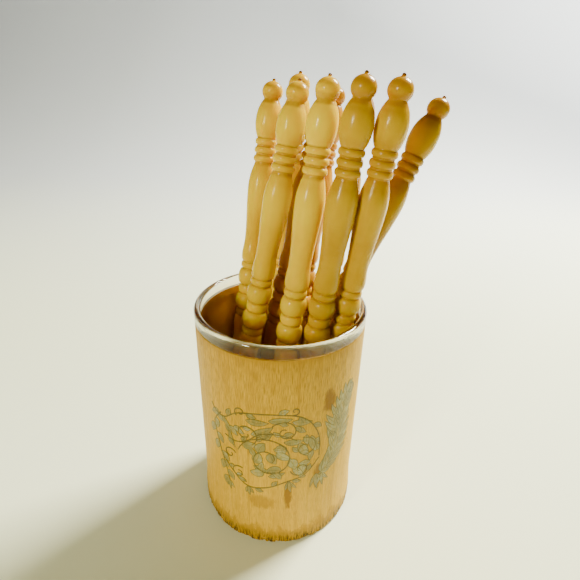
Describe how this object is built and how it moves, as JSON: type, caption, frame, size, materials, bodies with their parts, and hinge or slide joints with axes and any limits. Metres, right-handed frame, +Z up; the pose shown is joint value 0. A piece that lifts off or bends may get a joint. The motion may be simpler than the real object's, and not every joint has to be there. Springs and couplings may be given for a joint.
{
  "type": "double pointed needles in a bamboo-sleeved glass",
  "caption": "Butter-yellow turned needles with a ball at each end, standing loose in a clear glass that lifts out of a thin bamboo sleeve with a soft scroll print.",
  "frame": {"origin": "centre of the sleeve's foot, on the surface it stands on", "axes": "+Z up along the axis of the glass; -Y is the side with the print; the needles lean towards +X and +Y"},
  "size_m": [0.0973, 0.0785, 0.1871],
  "materials": {
    "bamboo": "satin natural bamboo",
    "silver_print": "worn silver-grey screen print with olive outlines",
    "glass": "clear polished glass",
    "needle_plastic": "glossy creamy butter-yellow plastic, aged to amber in its grooves"
  },
  "bodies": {
    "sleeve": {"bamboo_sleeve": "bamboo"},
    "glass": {"glass_tumbler": "glass"},
    "needle_01": {"needle_01": "needle_plastic"},
    "needle_02": {"needle_02": "needle_plastic"},
    "needle_03": {"needle_03": "needle_plastic"},
    "needle_04": {"needle_04": "needle_plastic"},
    "needle_05": {"needle_05": "needle_plastic"},
    "needle_06": {"needle_06": "needle_plastic"},
    "needle_07": {"needle_07": "needle_plastic"},
    "needle_08": {"needle_08": "needle_plastic"},
    "needle_09": {"needle_09": "needle_plastic"},
    "needle_10": {"needle_10": "needle_plastic"}
  },
  "joints": [
    {"name": "glass_lift", "type": "slide", "parent": "sleeve", "child": "glass", "axis": [0, 0, 1], "range_m": [0, 0.105]},
    {"name": "needle_01_lift", "type": "slide", "parent": "glass", "child": "needle_01", "axis": [0.1206, 0.151, 0.9811], "range_m": [0, 0.185]},
    {"name": "needle_02_lift", "type": "slide", "parent": "glass", "child": "needle_02", "axis": [0.0784, 0.0132, 0.9968], "range_m": [0, 0.185]},
    {"name": "needle_03_lift", "type": "slide", "parent": "glass", "child": "needle_03", "axis": [0.1759, 0.0901, 0.9803], "range_m": [0, 0.185]},
    {"name": "needle_04_lift", "type": "slide", "parent": "glass", "child": "needle_04", "axis": [0.1194, 0.0898, 0.9888], "range_m": [0, 0.185]},
    {"name": "needle_05_lift", "type": "slide", "parent": "glass", "child": "needle_05", "axis": [0.1804, 0.0695, 0.9811], "range_m": [0, 0.185]},
    {"name": "needle_06_lift", "type": "slide", "parent": "glass", "child": "needle_06", "axis": [0.1326, 0.1855, 0.9737], "range_m": [0, 0.185]},
    {"name": "needle_07_lift", "type": "slide", "parent": "glass", "child": "needle_07", "axis": [0.1144, 0.0099, 0.9934], "range_m": [0, 0.185]},
    {"name": "needle_08_lift", "type": "slide", "parent": "glass", "child": "needle_08", "axis": [0.1306, -0.0285, 0.991], "range_m": [0, 0.185]},
    {"name": "needle_09_lift", "type": "slide", "parent": "glass", "child": "needle_09", "axis": [0.3897, 0.1124, 0.9141], "range_m": [0, 0.185]},
    {"name": "needle_10_lift", "type": "slide", "parent": "glass", "child": "needle_10", "axis": [0.1112, -0.0011, 0.9938], "range_m": [0, 0.185]}
  ]
}
